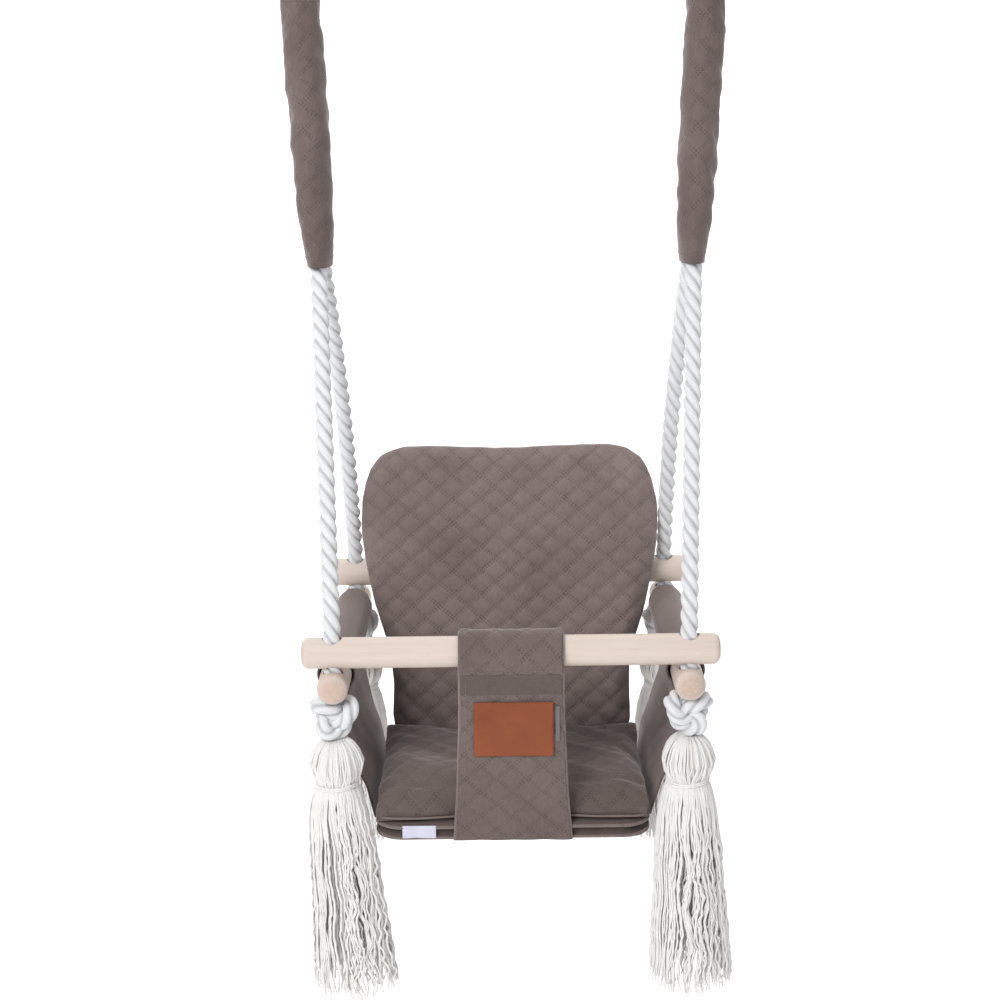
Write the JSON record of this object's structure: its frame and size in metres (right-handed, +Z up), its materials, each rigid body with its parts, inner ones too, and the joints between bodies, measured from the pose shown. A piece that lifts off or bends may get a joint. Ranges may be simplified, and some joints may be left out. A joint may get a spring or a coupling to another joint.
{
  "type": "toddler bucket swing",
  "caption": "Hanging toddler swing: padded seat and back in a frame of round wooden bars on two ropes with padded sleeves, a crotch strap over the front bar and tasselled rope ends.",
  "frame": {"origin": "midway between the two hanging rings, on the line through the lowest point of their wires, which is the axis the swing turns about", "axes": "+X to the right seen from the front, +Y to the back of the seat, +Z up"},
  "size_m": [0.466, 0.374, 1.134],
  "materials": {
    "beech": "satin",
    "cotton_rope": "matte",
    "taupe_velvet": "matte",
    "cognac_leather": "satin",
    "white_label": "matte",
    "grey_tape": "matte",
    "ring_steel": "satin"
  },
  "bodies": {
    "hangers": {"left_ring": "ring_steel", "right_ring": "ring_steel"},
    "seat": {"back_cushion": "taupe_velvet", "closure_tape": "grey_tape", "crotch_strap": "taupe_velvet", "front_bar": "beech", "leather_patch": "cognac_leather", "left_front_knot": "cotton_rope", "left_rear_knot": "cotton_rope", "left_rope": "cotton_rope", "left_rope_sleeve": "taupe_velvet", "left_side_bar": "beech", "left_side_panel": "taupe_velvet", "rear_bar": "beech", "rear_bar_tunnel": "taupe_velvet", "right_front_knot": "cotton_rope", "right_rear_knot": "cotton_rope", "right_rope": "cotton_rope", "right_rope_sleeve": "taupe_velvet", "right_side_bar": "beech", "right_side_panel": "taupe_velvet", "seat_base": "taupe_velvet", "seat_cushion": "taupe_velvet", "side_label": "white_label"},
    "left_front_tassel": {"left_front_tassel": "cotton_rope", "left_front_tie": "cotton_rope"},
    "left_rear_tassel": {"left_rear_tassel": "cotton_rope", "left_rear_tie": "cotton_rope"},
    "right_front_tassel": {"right_front_tassel": "cotton_rope", "right_front_tie": "cotton_rope"},
    "right_rear_tassel": {"right_rear_tassel": "cotton_rope", "right_rear_tie": "cotton_rope"}
  },
  "joints": [
    {"name": "swing", "type": "hinge", "parent": "hangers", "child": "seat", "pos_m": [0, 0, 0], "axis": [1, 0, 0], "range_deg": [-40, 40]},
    {"name": "left_front_tassel_sway", "type": "hinge", "parent": "seat", "child": "left_front_tassel", "pos_m": [-0.1715, -0.1565, -0.807], "axis": [1, 0, 0], "range_deg": [-12, 12]},
    {"name": "left_rear_tassel_sway", "type": "hinge", "parent": "seat", "child": "left_rear_tassel", "pos_m": [-0.1715, 0.1265, -0.807], "axis": [1, 0, 0], "range_deg": [-12, 12]},
    {"name": "right_front_tassel_sway", "type": "hinge", "parent": "seat", "child": "right_front_tassel", "pos_m": [0.1715, -0.1565, -0.807], "axis": [1, 0, 0], "range_deg": [-12, 12]},
    {"name": "right_rear_tassel_sway", "type": "hinge", "parent": "seat", "child": "right_rear_tassel", "pos_m": [0.1715, 0.1265, -0.807], "axis": [1, 0, 0], "range_deg": [-12, 12]}
  ]
}
